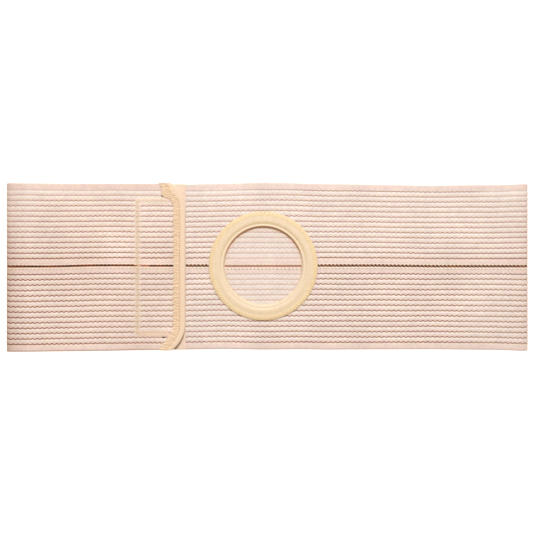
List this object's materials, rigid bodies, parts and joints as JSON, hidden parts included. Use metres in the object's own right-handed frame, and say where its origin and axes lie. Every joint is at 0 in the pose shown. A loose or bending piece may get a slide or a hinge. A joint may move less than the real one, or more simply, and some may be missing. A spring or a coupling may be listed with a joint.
{
  "type": "ostomy support belt",
  "caption": "Wide ribbed elastic waist belt with a moulded ring round its front opening and a bound flap that closes by hook and loop, for holding an ostomy pouch.",
  "frame": {"origin": "on the table under the middle of the laid belt", "axes": "+X along the laid belt from the flap's fold to the other fold, +Y up the belt's height, +Z out of its front, away from the table"},
  "size_m": [0.476, 0.1535, 0.0141],
  "materials": {
    "elastic": "matte ribbed knitted elastic",
    "ring": "satin moulded plastic",
    "tape": "matte woven binding tape",
    "hook_tape": "woven tape with plastic hooks",
    "loop_pile": "matte brushed loop pile"
  },
  "bodies": {
    "root": {"upper_band": "elastic", "lower_band": "elastic", "belt_ring": "ring", "flap_binding": "tape", "hook_strip": "hook_tape", "loop_strip": "loop_pile"}
  },
  "joints": []
}
